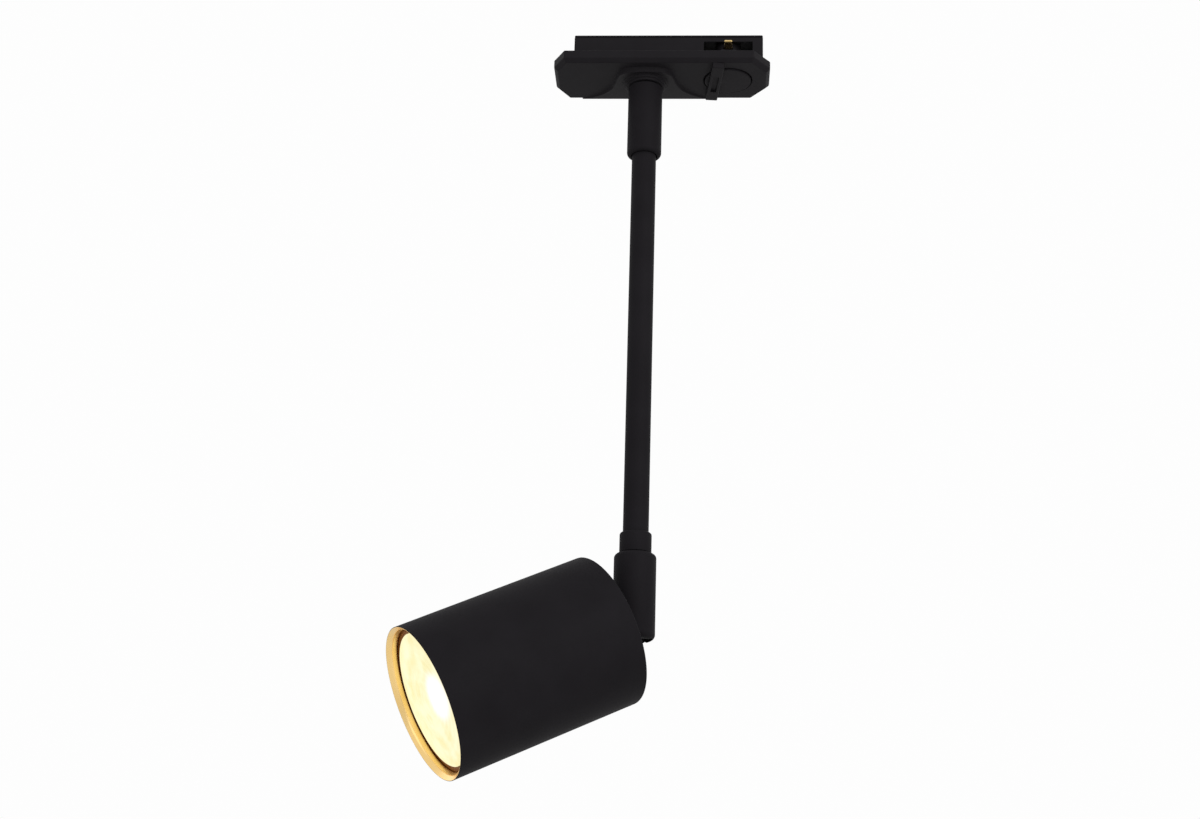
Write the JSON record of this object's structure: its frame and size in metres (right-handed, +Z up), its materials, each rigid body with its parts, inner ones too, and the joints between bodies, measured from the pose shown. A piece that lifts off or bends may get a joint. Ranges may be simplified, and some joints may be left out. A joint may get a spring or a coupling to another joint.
{
  "type": "track spotlight",
  "caption": "Cylindrical spotlight on a drop stem with a swivel and tilt knuckle, hung from a twist-lock lighting track adapter.",
  "frame": {"origin": "on the stem's axis, in the plane where the adapter bears on the underside of the track", "axes": "+Z up into the track, X along the track, the lock knob on the +X side"},
  "size_m": [0.1425, 0.0817, 0.3178],
  "materials": {
    "black_coat": "fine matt black powder coat",
    "black_plastic": "moulded, satin",
    "gold_ring": "gold anodised, satin",
    "bronze_ring": "dark bronze anodised, satin",
    "steel": "zinc plated",
    "brass": "bright",
    "ceramic": "unglazed steatite",
    "white_plastic": "moulded",
    "lens": "diffusing lens, lit",
    "led_board": "white solder mask",
    "cable": "sheath",
    "brown_lead": "lead insulation",
    "blue_lead": "lead insulation",
    "green_lead": "lead insulation"
  },
  "bodies": {
    "adapter": {"adapter_cover": "black_plastic", "insert_body": "black_plastic", "insert_cap": "black_plastic", "end_hook": "steel", "earth_contact": "brass", "terminal_block": "white_plastic", "terminal_screw_1": "brass", "terminal_screw_2": "brass", "terminal_screw_3": "brass", "cover_screw_1": "steel", "cover_screw_2": "steel", "stem_locknut": "steel", "live_lead": "brown_lead", "neutral_lead": "blue_lead", "earth_lead": "green_lead", "upper_nipple": "steel", "stem_collar": "black_coat", "collar_grub_screw": "steel", "stem_tube": "black_coat", "swivel_sleeve": "black_coat", "supply_cable": "cable"},
    "lock": {"lock_knob": "black_plastic", "rotor_carrier": "black_plastic", "rotor_screw": "steel", "live_contact": "brass", "neutral_contact": "brass"},
    "knuckle": {"knuckle_body": "black_coat", "swivel_clip": "steel", "pivot_pin_1": "steel", "pivot_pin_2": "steel"},
    "head": {"tilt_bracket": "black_coat", "head_shell": "black_coat", "trim_ring": "gold_ring", "centring_ring": "bronze_ring", "holder_strap": "steel", "bracket_screw_1": "steel", "bracket_screw_2": "steel", "lampholder": "ceramic", "holder_screw_1": "steel", "holder_screw_2": "steel", "lead_bush": "white_plastic", "head_live_lead": "brown_lead", "head_neutral_lead": "blue_lead"},
    "lamp": {"lamp_body": "white_plastic", "lamp_lens": "lens", "led_board": "led_board", "led_emitter": "lens", "lamp_pin_1": "steel", "lamp_pin_2": "steel"}
  },
  "joints": [
    {"name": "lock_turn", "type": "hinge", "parent": "adapter", "child": "lock", "pos_m": [0.0345, 0, 0], "axis": [0, 0, 1], "range_deg": [0, 90]},
    {"name": "pan", "type": "hinge", "parent": "adapter", "child": "knuckle", "pos_m": [0, 0, -0.2165], "axis": [0, 0, 1], "range_deg": [-175, 175]},
    {"name": "tilt", "type": "hinge", "parent": "knuckle", "child": "head", "pos_m": [0, 0, -0.237], "axis": [0.3923, -0.9198, 0], "range_deg": [-26.3, 63.7]},
    {"name": "lamp_twist", "type": "hinge", "parent": "head", "child": "lamp", "pos_m": [0, 0, -0.237], "axis": [-0.8246, -0.3517, -0.4431], "range_deg": [0, 20]}
  ]
}
